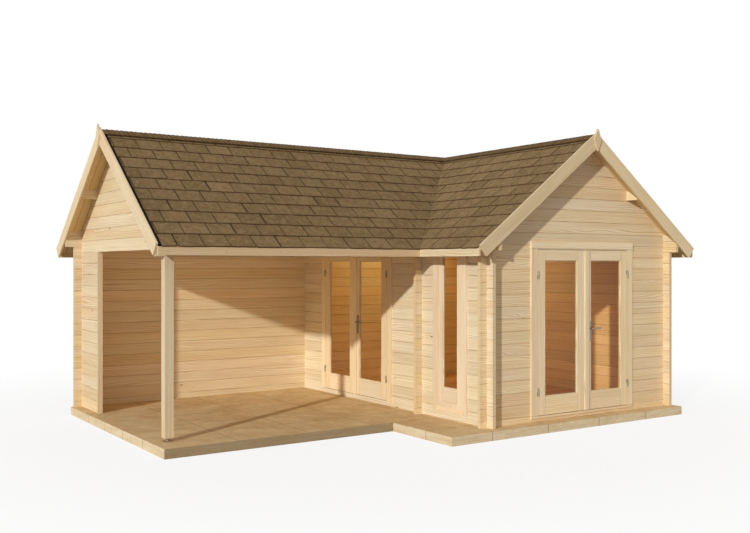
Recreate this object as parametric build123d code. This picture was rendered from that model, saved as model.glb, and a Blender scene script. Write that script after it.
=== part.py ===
from build123d import *
import math
import os

os.makedirs("parts", exist_ok=True)

# A log-built garden house on an L-shaped plan: a closed room with a front gable
# and a covered terrace beside it, under two roofs that meet in valleys.
# House frame while modelling: x = 0 on the outer face of the room's terrace wall,
# y = 0 on the outer face of the front wall, z = 0 on top of the base slab.
# Every piece is then moved so that the origin is the bottom centre of the whole.

# Plan
room_width = 3020
house_depth = 4110
terrace_width = 3255
terrace_narrowing = 100
stub_wall_length = 715
stub_trim_width = 60
stub_trim_thickness = 16

# Logs, fourteen and a half courses of them up to the doors' head
log_thickness = 44
log_course_share = 1 / 14.5
log_end_length = 96
groove_width = 10
groove_depth = 5

# Base slab and floor
slab_thickness = 100
slab_left_margin = 125
slab_terrace_apron = 315
slab_room_apron = 655
slab_front_margin = 200
slab_right_margin = 65
floor_thickness = 28
floor_clearance = 2

# Roof
roof_pitch = 36.9
eave_overhang = 285
roof_seat_share = 1.42
roof_thickness = 30
front_verge = 220
left_verge = 218
fascia_height = 85
barge_width = 150
barge_rise = 24
trim_thickness = 22
purlin_offset = 800
purlin_width = 60
purlin_height = 90
purlin_nose_share = 0.6
finial_width = 114
finial_height = 265
finial_rise = 69
finial_thickness = 20
finial_shoulder_share = 0.46
finial_waist_shares = ((0.08, 0.15), (0.31, 0.36), (0.55, 0.56), (0.8, 0.8))

# Post and its foot
post_width = 96
post_foot_height = 40
foot_plate_width = 90
foot_plate_thickness = 6
foot_stem_radius = 18

# Double doors, one in the front wall and one in the terrace wall
terrace_door_shift = 35
door_opening_width = 1620
door_opening_height = 2030
door_sill_rise = 37
jamb_width = 50
frame_proud = 18
frame_inner_proud = 18
sill_height = 28
casing_width = 48
header_height = 80
header_lap = 40
header_proud = 24
stop_width = 15
door_clearance = 5
leaf_thickness = 40
stile_width = 112
top_rail_width = 120
bottom_rail_width = 210
glass_thickness = 6
glass_clearance = 0.3
astragal_width = 70
astragal_thickness = 16

# Door fittings
knuckle_radius = 8
knuckle_length = 45
knuckle_clearance = 0.3
hinge_plate_width = 14
hinge_plate_thickness = 3
lower_hinge_height = 340
upper_hinge_height = 1685
handle_plate_width = 34
handle_plate_height = 245
handle_plate_drop = 32
handle_plate_thickness = 6
handle_height = 1040
handle_edge_distance = 93
lever_length = 140
lever_radius = 9
lever_reach = 45

# Tall fixed window in the terrace wall
window_shift = 50
window_opening_width = 522
window_casing_width = 52
window_frame_width = 58
window_sash_width = 70
window_bottom_rail = 165
window_sash_thickness = 36
window_sash_setback = 8

# Cuts run past the solid by this much
overrun = 60

# Places that follow from the sizes above
pitch = math.radians(roof_pitch)
ridge_x = room_width / 2
terrace_depth = room_width - terrace_narrowing
terrace_setback = house_depth - terrace_depth
ridge_y = house_depth - terrace_depth / 2
terrace_door_place = ridge_y + terrace_door_shift
window_place = terrace_setback / 2 + window_shift
eave_run = ridge_x + eave_overhang
roof_drop = roof_thickness / math.cos(pitch)
barge_lift = barge_rise / math.cos(pitch)
barge_drop = barge_width / math.cos(pitch) - barge_lift
log_height = door_opening_height * log_course_share
half_log = log_height / 2
quarter_log = log_height / 4
split_height = door_opening_height
plate_bottom = split_height - half_log
roof_seat = log_height * roof_seat_share
ridge_height = plate_bottom + roof_seat + roof_drop + ridge_x * math.tan(pitch)
eave_height = ridge_height - eave_run * math.tan(pitch)
left_face = -terrace_width
left_end = left_face - left_verge
front_end = -front_verge
back_end = ridge_y + eave_run
left_eave = ridge_x - eave_run
right_eave = ridge_x + eave_run
terrace_eave = ridge_y - eave_run
beam_bottom = plate_bottom - half_log
centre_x = (left_end - finial_thickness + right_eave) / 2
centre_y = (front_end + back_end) / 2


def under_wing(x):
    """Height of the roof's underside over the room, from the distance to its ridge."""
    return ridge_height - roof_drop - abs(x - ridge_x) * math.tan(pitch)


def under_main(y):
    """Height of the roof's underside over the terrace, from the distance to its ridge."""
    return ridge_height - roof_drop - abs(y - ridge_y) * math.tan(pitch)


def block(x0, x1, y0, y1, z0, z1):
    """A box between two corners."""
    size = (x1 - x0, y1 - y0, z1 - z0)
    middle = ((x0 + x1) / 2, (y0 + y1) / 2, (z0 + z1) / 2)
    return Pos(*middle) * Box(*size)


def outline_face(points):
    """A flat face whose outline always turns the same way and repeats no point."""
    kept = [p for p, q in zip(points, points[1:] + points[:1]) if p != q]
    after = kept[1:] + kept[:1]
    turn = sum(a * d - c * b for (a, b), (c, d) in zip(kept, after))
    ordered = kept if turn > 0 else kept[::-1]
    return make_face(Polyline(*ordered, close=True))


def plate_along_x(points, y0, y1):
    """A flat plate that lies in the XZ plane between two values of y."""
    return Pos(0, y1, 0) * extrude(Plane.XZ * outline_face(points), amount=y1 - y0)


def plate_along_y(points, x0, x1):
    """A flat plate that lies in the YZ plane between two values of x."""
    return Pos(x0, 0, 0) * extrude(Plane.YZ * outline_face(points), amount=x1 - x0)


def column(points, z0, z1):
    """An upright prism over an outline in plan."""
    return Pos(0, 0, z0) * extrude(outline_face(points), amount=z1 - z0)


def rectangle(a0, a1, b0, b1):
    """Corner points of a rectangle, in order."""
    return [(a0, b0), (a1, b0), (a1, b1), (a0, b1)]


# Log walls
log_top = math.ceil(ridge_height / log_height) * log_height
joint_levels_x = [half_log + n * log_height for n in range(int(log_top / log_height))]
joint_levels_y = [log_height + n * log_height for n in range(int(log_top / log_height))]


def sky_over_wing():
    """All that lies above the room's roof underside."""
    side = eave_run + overrun
    top = ridge_height + overrun
    low = under_wing(ridge_x + side)
    outline = [
        (ridge_x - side, low),
        (ridge_x, under_wing(ridge_x)),
        (ridge_x + side, low),
        (ridge_x + side, top),
        (ridge_x - side, top),
    ]
    return plate_along_x(outline, front_end - overrun, back_end + overrun)


def sky_over_main():
    """All that lies above the terrace's roof underside."""
    side = eave_run + overrun
    top = ridge_height + overrun
    low = under_main(ridge_y + side)
    outline = [
        (ridge_y - side, low),
        (ridge_y, under_main(ridge_y)),
        (ridge_y + side, low),
        (ridge_y + side, top),
        (ridge_y - side, top),
    ]
    return plate_along_y(outline, left_end - overrun, right_eave + overrun)


def attic_of_main():
    """The space under the terrace's roof, as far as the room's ridge."""
    low = under_main(back_end)
    outline = [(terrace_eave, low), (ridge_y, under_main(ridge_y)), (back_end, low)]
    return plate_along_y(outline, left_end - overrun, ridge_x)


def groove_outline(level):
    """Section of the open V at a log joint, standing on a wall face."""
    return [
        (-overrun, level + groove_width / 2),
        (0, level + groove_width / 2),
        (groove_depth, level),
        (0, level - groove_width / 2),
        (-overrun, level - groove_width / 2),
    ]


def grooves_along_x(y0, z0, z1):
    """V grooves on both faces of a wall that runs along X."""
    cuts = []
    for level in joint_levels_x:
        if z0 + groove_width < level < z1 - groove_width:
            for face, turn in ((y0, 1), (y0 + log_thickness, -1)):
                points = [(face + turn * d, z) for d, z in groove_outline(level)]
                cuts.append(plate_along_y(points, left_end - overrun, right_eave))
    return cuts


def grooves_along_y(x0, z0, z1):
    """V grooves on both faces of a wall that runs along Y."""
    cuts = []
    for level in joint_levels_y:
        if z0 + groove_width < level < z1 - groove_width:
            for face, turn in ((x0, 1), (x0 + log_thickness, -1)):
                points = [(face + turn * d, z) for d, z in groove_outline(level)]
                cuts.append(plate_along_x(points, front_end - overrun, back_end))
    return cuts


def laps_for_wall_along_x(x0, y0, z0, z1):
    """Where the crossing wall's logs keep the corner, so this wall is notched."""
    return laps(x0, y0, z0, z1, half_log)


def laps_for_wall_along_y(x0, y0, z0, z1):
    """Where the crossing wall's logs keep the corner, so this wall is notched."""
    return laps(x0, y0, z0, z1, 0)


def laps(x0, y0, z0, z1, first):
    """Notches half a log high, one a course, about the middles of the crossing logs."""
    cuts = []
    for n in range(int(log_top / log_height) + 1):
        middle = first + n * log_height
        low = max(middle - quarter_log, z0)
        high = min(middle + quarter_log, z1)
        if high > low:
            cuts.append(
                block(x0, x0 + log_thickness, y0, y0 + log_thickness, low, high)
            )
    return cuts


front_line = 0
back_line = house_depth - log_thickness
beam_line = terrace_setback
terrace_wall_line = 0
right_wall_line = room_width - log_thickness
left_wall_line = left_face
front_tip = -log_end_length
room_left_tip = -log_end_length
back_tip = house_depth + log_end_length
left_tip = left_face - log_end_length
right_tip = room_width + log_end_length
front_plate_tip = front_end + trim_thickness
back_plate_tip = back_end - trim_thickness
left_plate_tip = left_end + trim_thickness
door_half = door_opening_width / 2
window_half = window_opening_width / 2
front_door_left = ridge_x - door_half
front_door_right = ridge_x + door_half
terrace_door_front = terrace_door_place - door_half
terrace_door_back = terrace_door_place + door_half
window_front = window_place - window_half
window_back = window_place + window_half
window_bottom = log_height
window_top = split_height


def purlin_section(middle, under):
    """Section of a purlin whose top follows the roof's underside."""
    near = middle - purlin_width / 2
    far = middle + purlin_width / 2
    low = under(middle) - purlin_height
    return [(near, low), (far, low), (far, under(far)), (near, under(near))]


def ridge_section(middle, under):
    """Section of a ridge beam whose top is peaked like the roof."""
    near = middle - purlin_width / 2
    far = middle + purlin_width / 2
    low = under(near) - purlin_height
    return [(near, low), (far, low), (far, under(far)), (middle, under(middle)), (near, under(near))]


def rounded_nose(beam, across, along, ends):
    """Round the underside of a beam at its free ends."""
    low_edges = beam.edges().filter_by(across).group_by(Axis.Z)[0].sort_by(along)
    return fillet([low_edges[n] for n in ends], purlin_height * purlin_nose_share)


def make_wing_beams():
    """Ridge beam and two purlins along the room, from barge to barge."""
    sections = [
        ridge_section(ridge_x, under_wing),
        purlin_section(ridge_x - purlin_offset, under_wing),
        purlin_section(ridge_x + purlin_offset, under_wing),
    ]
    beams = [plate_along_x(s, front_plate_tip, back_plate_tip) for s in sections]
    return [rounded_nose(beam, Axis.X, Axis.Y, (0, -1)) for beam in beams]


def make_main_beams():
    """Ridge beam and two purlins along the terrace, up to the room's own beams."""
    ridge_stop = ridge_x - purlin_width / 2
    purlin_stop = ridge_x - purlin_offset - purlin_width / 2
    beams = [
        plate_along_y(ridge_section(ridge_y, under_main), left_plate_tip, ridge_stop),
        plate_along_y(purlin_section(ridge_y - purlin_offset, under_main), left_plate_tip, purlin_stop),
        plate_along_y(purlin_section(ridge_y + purlin_offset, under_main), left_plate_tip, purlin_stop),
    ]
    return [rounded_nose(beam, Axis.Y, Axis.X, (0,)) for beam in beams]


wing_beams = make_wing_beams()
main_beams = make_main_beams()
wing_sky = sky_over_wing()
main_sky = sky_over_main()
both_sky = wing_sky - attic_of_main()


def wall_along_x(outline, y0, crossings, cuts):
    """A log wall along X: outline, grooves, corner notches and other cuts."""
    low = min(z for _, z in outline)
    high = max(z for _, z in outline)
    solid = plate_along_x(outline, y0, y0 + log_thickness)
    solid = solid - grooves_along_x(y0, low, high)
    for x0, z0 in crossings:
        solid = solid - laps_for_wall_along_x(x0, y0, max(low, z0), high)
    for cut in cuts:
        solid = solid - cut
    return solid


def wall_along_y(outline, x0, crossings, cuts):
    """A log wall along Y: outline, grooves, corner notches and other cuts."""
    low = min(z for _, z in outline)
    high = max(z for _, z in outline)
    solid = plate_along_y(outline, x0, x0 + log_thickness)
    solid = solid - grooves_along_y(x0, low, high)
    for y0, z0 in crossings:
        solid = solid - laps_for_wall_along_y(x0, y0, max(low, z0), high)
    for cut in cuts:
        solid = solid - cut
    return solid


def make_back_wall():
    """The back wall up to the plate, terrace and room in one run."""
    outline = rectangle(left_tip, right_tip, 0, split_height)
    crossings = [(left_wall_line, 0), (terrace_wall_line, 0), (right_wall_line, 0)]
    return wall_along_x(outline, back_line, crossings, [])


def make_back_plate():
    """Top logs of the back wall beside the room's gable, out to the barge."""
    outline = rectangle(left_plate_tip, terrace_wall_line, split_height, under_main(back_line))
    return wall_along_x(outline, back_line, [(left_wall_line, 0)], [main_sky])


def make_back_gable():
    """Gable over the room's back wall."""
    outline = rectangle(terrace_wall_line, right_tip, split_height, ridge_height)
    crossings = [(terrace_wall_line, 0), (right_wall_line, 0)]
    return wall_along_x(outline, back_line, crossings, [both_sky] + wing_beams)


def make_front_gable():
    """Gable over the front doors."""
    outline = rectangle(room_left_tip, right_tip, split_height, ridge_height)
    crossings = [(terrace_wall_line, 0), (right_wall_line, 0)]
    return wall_along_x(outline, front_line, crossings, [wing_sky] + wing_beams)


def make_front_wall_left():
    """Front wall between the inner corner and the doors."""
    outline = rectangle(room_left_tip, front_door_left, 0, split_height)
    return wall_along_x(outline, front_line, [(terrace_wall_line, 0)], [])


def make_front_wall_right():
    """Front wall between the doors and the outer corner."""
    outline = rectangle(front_door_right, right_tip, 0, split_height)
    return wall_along_x(outline, front_line, [(right_wall_line, 0)], [])


def make_front_threshold():
    """Low piece of the bottom log that stays under the front doors."""
    return block(front_door_left, front_door_right, 0, log_thickness, 0, door_sill_rise)


def make_right_wall():
    """Plain outer side wall of the room, its top log carried out to both barges."""
    top = under_wing(right_wall_line)
    outline = [
        (front_tip, 0),
        (back_tip, 0),
        (back_tip, plate_bottom),
        (back_plate_tip, plate_bottom),
        (back_plate_tip, top),
        (front_plate_tip, top),
        (front_plate_tip, plate_bottom),
        (front_tip, plate_bottom),
    ]
    crossings = [(front_line, 0), (back_line, 0)]
    return wall_along_y(outline, right_wall_line, crossings, [wing_sky])


def make_terrace_wall_front():
    """Room wall between the front corner and the window."""
    outline = [
        (front_tip, 0),
        (window_front, 0),
        (window_front, split_height),
        (front_plate_tip, split_height),
        (front_plate_tip, plate_bottom),
        (front_tip, plate_bottom),
    ]
    return wall_along_y(outline, terrace_wall_line, [(front_line, 0)], [])


def make_terrace_wall_middle():
    """Room wall between the window and the terrace doors."""
    outline = rectangle(window_back, terrace_door_front, 0, split_height)
    return wall_along_y(outline, terrace_wall_line, [(beam_line, 0)], [])


def make_terrace_wall_back():
    """Room wall between the terrace doors and the back corner."""
    outline = [
        (terrace_door_back, 0),
        (back_tip, 0),
        (back_tip, plate_bottom),
        (back_plate_tip, plate_bottom),
        (back_plate_tip, split_height),
        (terrace_door_back, split_height),
    ]
    return wall_along_y(outline, terrace_wall_line, [(back_line, 0)], [])


def make_terrace_threshold():
    """Low piece of the bottom log that stays under the terrace doors."""
    return block(0, log_thickness, terrace_door_front, terrace_door_back, 0, door_sill_rise)


def make_window_sill_log():
    """Bottom log under the tall window."""
    return block(0, log_thickness, window_front, window_back, 0, window_bottom)


def make_terrace_gable():
    """Room wall over doors and window, with the gable that closes the terrace roof."""
    outline = rectangle(front_plate_tip, back_plate_tip, split_height, ridge_height)
    crossings = [(front_line, 0), (beam_line, 0), (back_line, 0)]
    return wall_along_y(outline, terrace_wall_line, crossings, [both_sky] + main_beams)


def make_stub_wall():
    """Short wall that closes the terrace's back left corner."""
    outline = rectangle(house_depth - stub_wall_length, back_tip, 0, plate_bottom)
    return wall_along_y(outline, left_wall_line, [(back_line, 0)], [])


def make_stub_trim():
    """Cover strip on the free end of the short wall."""
    middle = left_wall_line + log_thickness / 2
    near = middle - stub_trim_width / 2
    far = middle + stub_trim_width / 2
    face = house_depth - stub_wall_length
    return block(near, far, face - stub_trim_thickness, face, 0, plate_bottom)


def make_left_gable():
    """Log gable over the terrace's open left side."""
    outline = rectangle(terrace_setback - log_end_length, back_tip, plate_bottom, ridge_height)
    crossings = [(beam_line, plate_bottom), (back_line, 0)]
    return wall_along_y(outline, left_wall_line, crossings, [main_sky] + main_beams)


def make_front_beam():
    """Log beam over the terrace's open front, out to the barge above."""
    inner_tip = log_thickness + log_end_length
    outline = [
        (left_tip, beam_bottom),
        (inner_tip, beam_bottom),
        (inner_tip, ridge_height),
        (left_plate_tip, ridge_height),
        (left_plate_tip, split_height),
        (left_tip, split_height),
    ]
    crossings = [(left_wall_line, plate_bottom), (terrace_wall_line, 0)]
    return wall_along_x(outline, beam_line, crossings, [main_sky])


def make_cross_stub():
    """Short log ends that cross the room wall under the beam."""
    outline = rectangle(room_left_tip, log_thickness + log_end_length, 0, beam_bottom)
    return wall_along_x(outline, beam_line, [(terrace_wall_line, 0)], [])


# Base, floor and post
def make_base_slab():
    """L-shaped stone base under terrace and room."""
    left = left_face - slab_left_margin
    right = room_width + slab_right_margin
    step = terrace_wall_line - slab_room_apron
    terrace_front = terrace_setback - slab_terrace_apron
    outline = [
        (left, terrace_front),
        (step, terrace_front),
        (step, -slab_front_margin),
        (right, -slab_front_margin),
        (right, house_depth),
        (left, house_depth),
    ]
    return column(outline, -slab_thickness, 0)


def make_room_floor():
    """Board floor of the room, cut round the log ends inside it."""
    near = log_thickness + floor_clearance
    right = right_wall_line - floor_clearance
    back = back_line - floor_clearance
    floor = block(near, right, near, back, 0, floor_thickness)
    stub = block(
        0,
        log_thickness + log_end_length + floor_clearance,
        beam_line - floor_clearance,
        beam_line + log_thickness + floor_clearance,
        -overrun,
        floor_thickness + overrun,
    )
    return floor - stub


def make_post():
    """Square post at the terrace's free corner."""
    x0 = left_face
    y0 = terrace_setback
    return block(x0, x0 + post_width, y0, y0 + post_width, post_foot_height, beam_bottom)


def make_post_foot():
    """Metal foot that keeps the post off the slab."""
    middle = Pos(left_face + post_width / 2, terrace_setback + post_width / 2, 0)
    bottom = Align.MIN
    flat = (Align.CENTER, Align.CENTER, bottom)
    plate = Box(foot_plate_width, foot_plate_width, foot_plate_thickness, align=flat)
    stem = Cylinder(foot_stem_radius, post_foot_height, align=flat)
    top = Pos(0, 0, post_foot_height - foot_plate_thickness) * plate
    return middle * (plate + stem + top)


# Roof
def roof_slab_wing(outline, eave):
    """One slope over the room, cut upright along its outline in plan."""
    low = ridge_height - eave_run * math.tan(pitch)
    section = [
        (ridge_x, ridge_height),
        (eave, low),
        (eave, low - roof_drop),
        (ridge_x, ridge_height - roof_drop),
    ]
    slope = plate_along_x(section, front_end, back_end)
    return slope & column(outline, 0, ridge_height + overrun)


def roof_slab_main(outline, eave):
    """One slope over the terrace, cut upright along its outline in plan."""
    low = ridge_height - eave_run * math.tan(pitch)
    section = [
        (ridge_y, ridge_height),
        (eave, low),
        (eave, low - roof_drop),
        (ridge_y, ridge_height - roof_drop),
    ]
    slope = plate_along_y(section, left_end, right_eave)
    return slope & column(outline, 0, ridge_height + overrun)


roof_left = left_end + trim_thickness
roof_front = front_end + trim_thickness
roof_back = back_end - trim_thickness
wing_eave_left = left_eave + trim_thickness
wing_eave_right = right_eave - trim_thickness
main_eave_front = terrace_eave + trim_thickness
main_eave_back = back_end - trim_thickness


def make_main_roof_front():
    """Front slope over the terrace, down to the valley."""
    outline = [
        (roof_left, main_eave_front),
        (wing_eave_left, main_eave_front),
        (ridge_x, ridge_y),
        (roof_left, ridge_y),
    ]
    return roof_slab_main(outline, terrace_eave)


def make_main_roof_back():
    """Back slope over the terrace, down to the rear valley."""
    outline = [
        (roof_left, ridge_y),
        (ridge_x, ridge_y),
        (wing_eave_left, main_eave_back),
        (roof_left, main_eave_back),
    ]
    return roof_slab_main(outline, back_end)


def make_wing_roof_left():
    """Slope over the room beside the terrace, in front of the valley."""
    outline = [
        (wing_eave_left, roof_front),
        (ridge_x, roof_front),
        (ridge_x, ridge_y),
        (wing_eave_left, main_eave_front),
    ]
    return roof_slab_wing(outline, left_eave)


def make_wing_roof_rear():
    """Triangle of the same slope behind the rear valley."""
    outline = [
        (ridge_x, ridge_y),
        (ridge_x, roof_back),
        (wing_eave_left, roof_back),
    ]
    return roof_slab_wing(outline, left_eave)


def make_wing_roof_right():
    """Outer slope over the room."""
    outline = rectangle(ridge_x, wing_eave_right, roof_front, roof_back)
    return roof_slab_wing(outline, right_eave)


def make_main_fascia():
    """Eave boards in front of and behind the terrace."""
    top = eave_height
    front = block(roof_left, left_eave, terrace_eave, main_eave_front, top - fascia_height, top)
    back = block(roof_left, left_eave, main_eave_back, back_end, top - fascia_height, top)
    return [front, back]


def make_wing_fascia():
    """Eave boards along both sides of the room."""
    top = eave_height
    low = top - fascia_height
    left = block(left_eave, wing_eave_left, roof_front, terrace_eave, low, top)
    right = block(wing_eave_right, right_eave, roof_front, roof_back, low, top)
    return [left, right]


def barge_outline(ridge, eave):
    """A sloping board from the ridge to the eave, its end cut square and its tip cut level."""
    level = eave_height - fascia_height
    steep = math.tan(pitch)
    toward = 1 if ridge > eave else -1
    run = (level - (eave_height - barge_drop)) / steep
    cut = (fascia_height + barge_lift) * steep
    return [
        (ridge, ridge_height + barge_lift),
        (eave, eave_height + barge_lift),
        (eave + toward * cut, level),
        (eave + toward * run, level),
        (ridge, ridge_height - barge_drop),
    ]


def make_barges():
    """Left-hand and right-hand barge boards of the three gables."""
    left_hand = [
        plate_along_x(barge_outline(ridge_x, left_eave), front_end, front_end + trim_thickness),
        plate_along_y(barge_outline(ridge_y, back_end), left_end, left_end + trim_thickness),
        plate_along_x(barge_outline(ridge_x, right_eave), back_end - trim_thickness, back_end),
    ]
    right_hand = [
        plate_along_x(barge_outline(ridge_x, right_eave), front_end, front_end + trim_thickness),
        plate_along_y(barge_outline(ridge_y, terrace_eave), left_end, left_end + trim_thickness),
        plate_along_x(barge_outline(ridge_x, left_eave), back_end - trim_thickness, back_end),
    ]
    return left_hand, right_hand


def finial_outline(middle):
    """Kite with a long point up."""
    tip = ridge_height + finial_rise
    foot = tip - finial_height
    shoulder = tip - finial_height * finial_shoulder_share
    half = finial_width / 2
    waist = [(half * w, tip + (shoulder - tip) * d) for d, w in finial_waist_shares]
    right = [(middle + w, z) for w, z in waist]
    left = [(middle - w, z) for w, z in reversed(waist)]
    kite = [(middle + half, shoulder), (middle, foot), (middle - half, shoulder)]
    return [(middle, tip)] + right + kite + left


def make_finials():
    """Kite-shaped finials on the three gable points."""
    return [
        plate_along_x(finial_outline(ridge_x), front_end - finial_thickness, front_end),
        plate_along_y(finial_outline(ridge_y), left_end - finial_thickness, left_end),
        plate_along_x(finial_outline(ridge_x), back_end, back_end + finial_thickness),
    ]


# Doors are drawn for a wall along X with its outer face at y = 0 and outside towards -y,
# with the middle of the opening at x = 0, and are then turned into their wall.
frame_depth = log_thickness + frame_inner_proud
clear_half = door_half - jamb_width
leaf_half = clear_half - door_clearance
head_low = door_opening_height - jamb_width
sill_top = door_sill_rise + sill_height
leaf_low = sill_top + door_clearance
leaf_high = head_low - door_clearance
leaf_face = -frame_proud
leaf_rear = leaf_face + leaf_thickness
stop_face = leaf_rear + door_clearance
hinge_axis_out = frame_proud + knuckle_radius
hinge_axis_side = clear_half - door_clearance / 2
meeting_gap = door_clearance / 2


def make_door_frame():
    """Jambs, head and sill with stops, casing boards and a header board."""
    body = block(-door_half, door_half, -frame_proud, frame_depth, door_sill_rise, door_opening_height)
    clear = block(-clear_half, clear_half, -frame_proud - overrun, stop_face, sill_top, head_low)
    inner = clear_half - stop_width
    passage = block(-inner, inner, 0, frame_depth + overrun, sill_top, head_low - stop_width)
    casing_half = door_half + casing_width
    header_low = door_opening_height - header_lap
    casing = block(-casing_half, casing_half, -frame_proud, 0, door_sill_rise, header_low)
    casing_gap = block(-door_half, door_half, -frame_proud - overrun, overrun, 0, header_low)
    header_top = header_low + header_height
    header = block(-casing_half, casing_half, -header_proud, 0, header_low, header_top)
    return body - clear - passage + (casing - casing_gap) + header


def make_leaf(side):
    """One glazed leaf: side is -1 for the left and 1 for the right seen from outside."""
    near, far = sorted((side * meeting_gap, side * leaf_half))
    solid = block(near, far, leaf_face, leaf_rear, leaf_low, leaf_high)
    pane = block(
        near + stile_width,
        far - stile_width,
        leaf_face - overrun,
        leaf_rear + overrun,
        leaf_low + bottom_rail_width,
        leaf_high - top_rail_width,
    )
    solid = solid - pane
    if side > 0:
        strip = block(
            near,
            near + astragal_width,
            leaf_face - astragal_thickness,
            leaf_face,
            leaf_low,
            leaf_high,
        )
        solid = solid + strip
    return solid


def make_leaf_glass(side):
    """The pane of one leaf, a hair smaller than its opening."""
    near, far = sorted((side * meeting_gap, side * leaf_half))
    middle = (leaf_face + leaf_rear) / 2
    return block(
        near + stile_width + glass_clearance,
        far - stile_width - glass_clearance,
        middle - glass_thickness / 2,
        middle + glass_thickness / 2,
        leaf_low + bottom_rail_width + glass_clearance,
        leaf_high - top_rail_width - glass_clearance,
    )


def hinge_half(side, low, high, away):
    """Half a hinge: a knuckle and the plate that it grows from."""
    axis = side * hinge_axis_side
    height = high - low
    knuckle = Pos(axis, -hinge_axis_out, (low + high) / 2) * Cylinder(knuckle_radius, height)
    near, far = sorted((axis, axis + away * hinge_plate_width))
    plate = block(near, far, leaf_face - hinge_plate_thickness, leaf_face, low, high)
    return knuckle + plate


def make_frame_hinges():
    """Lower halves of the four hinges of a pair of doors, on the jambs."""
    halves = []
    for side in (-1, 1):
        for level in (lower_hinge_height, upper_hinge_height):
            halves.append(hinge_half(side, level - knuckle_length, level, side))
    return halves


def make_leaf_hinges(side):
    """Upper halves of the two hinges of a leaf."""
    halves = []
    for level in (lower_hinge_height, upper_hinge_height):
        low = level + knuckle_clearance
        halves.append(hinge_half(side, low, level + knuckle_length, -side))
    return halves


def make_handle():
    """Long plate and lever on the right leaf."""
    middle = meeting_gap + handle_edge_distance
    plate_middle = handle_height - handle_plate_drop
    half = handle_plate_width / 2
    plate = block(
        middle - half,
        middle + half,
        leaf_face - handle_plate_thickness,
        leaf_face,
        plate_middle - handle_plate_height / 2,
        plate_middle + handle_plate_height / 2,
    )
    out = leaf_face - lever_reach
    half_way = Pos(middle, (leaf_face + out) / 2, handle_height)
    stem = half_way * Rot(90, 0, 0) * Cylinder(lever_radius, lever_reach)
    lever_middle = Pos(middle + lever_length / 2, out, handle_height)
    lever = lever_middle * Rot(0, 90, 0) * Cylinder(lever_radius, lever_length)
    knob = Pos(middle, out, handle_height) * Sphere(lever_radius)
    return plate + stem + lever + knob


def make_leaf_fittings(side):
    """All metal on one leaf."""
    fittings = make_leaf_hinges(side)
    if side > 0:
        fittings.append(make_handle())
    return fittings


# Window, drawn like the doors
def make_window_frame():
    """Fixed frame with casing boards round the tall opening."""
    half = window_half
    casing = block(
        -half - window_casing_width,
        half + window_casing_width,
        -frame_proud,
        0,
        window_bottom - window_casing_width,
        window_top + window_casing_width,
    )
    body = block(-half, half, -frame_proud, frame_depth, window_bottom, window_top)
    inner = half - window_frame_width
    hole = block(
        -inner,
        inner,
        -overrun - frame_proud,
        frame_depth + overrun,
        window_bottom + window_frame_width,
        window_top - window_frame_width,
    )
    return casing + body - hole


def make_window_sash():
    """Fixed sash that fills the frame."""
    half = window_half - window_frame_width
    low = window_bottom + window_frame_width
    high = window_top - window_frame_width
    face = window_sash_setback - frame_proud
    solid = block(-half, half, face, face + window_sash_thickness, low, high)
    hole = block(
        -half + window_sash_width,
        half - window_sash_width,
        face - overrun,
        face + window_sash_thickness + overrun,
        low + window_bottom_rail,
        high - window_sash_width,
    )
    return solid - hole


def make_window_glass():
    """The window's pane, a hair smaller than the sash opening."""
    inset = window_frame_width + window_sash_width + glass_clearance
    foot = window_frame_width + window_bottom_rail + glass_clearance
    half = window_half - inset
    face = window_sash_setback - frame_proud
    middle = face + window_sash_thickness / 2
    return block(
        -half,
        half,
        middle - glass_thickness / 2,
        middle + glass_thickness / 2,
        window_bottom + foot,
        window_top - inset,
    )


into_front = Pos(ridge_x, 0, 0)
into_terrace = Pos(0, terrace_door_place, 0) * Rot(0, 0, -90)
window_spot = Pos(0, window_place, 0) * Rot(0, 0, -90)
to_origin = Pos(-centre_x, -centre_y, slab_thickness)

barges_left, barges_right = make_barges()
parts = {
    "base_slab": make_base_slab(),
    "room_floor": make_room_floor(),
    "corner_post": make_post(),
    "post_foot": make_post_foot(),
    "back_wall": make_back_wall(),
    "back_plate": make_back_plate(),
    "back_gable": make_back_gable(),
    "front_gable": make_front_gable(),
    "front_wall_left": make_front_wall_left(),
    "front_wall_right": make_front_wall_right(),
    "front_threshold": make_front_threshold(),
    "right_wall": make_right_wall(),
    "terrace_wall_front": make_terrace_wall_front(),
    "terrace_wall_middle": make_terrace_wall_middle(),
    "terrace_wall_back": make_terrace_wall_back(),
    "terrace_threshold": make_terrace_threshold(),
    "window_sill_log": make_window_sill_log(),
    "terrace_gable": make_terrace_gable(),
    "stub_wall": make_stub_wall(),
    "stub_trim": make_stub_trim(),
    "left_gable": make_left_gable(),
    "front_beam": make_front_beam(),
    "cross_stub": make_cross_stub(),
    "wing_roof_beams": wing_beams,
    "main_roof_beams": main_beams,
    "main_roof_front": make_main_roof_front(),
    "main_roof_back": make_main_roof_back(),
    "wing_roof_left": make_wing_roof_left(),
    "wing_roof_rear": make_wing_roof_rear(),
    "wing_roof_right": make_wing_roof_right(),
    "main_fascia": make_main_fascia(),
    "wing_fascia": make_wing_fascia(),
    "barge_boards_left_hand": barges_left,
    "barge_boards_right_hand": barges_right,
    "finials": make_finials(),
    "window_frame": window_spot * make_window_frame(),
    "window_sash": window_spot * make_window_sash(),
    "window_glass": window_spot * make_window_glass(),
}

for wall, place in (("front", into_front), ("terrace", into_terrace)):
    parts[wall + "_door_frame"] = place * make_door_frame()
    parts[wall + "_frame_hinges"] = [place * half for half in make_frame_hinges()]
    for hand, side in (("left", -1), ("right", 1)):
        name = wall + "_leaf_" + hand
        parts[name] = place * make_leaf(side)
        parts[name + "_glass"] = place * make_leaf_glass(side)
        parts[name + "_fittings"] = [place * piece for piece in make_leaf_fittings(side)]


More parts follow.
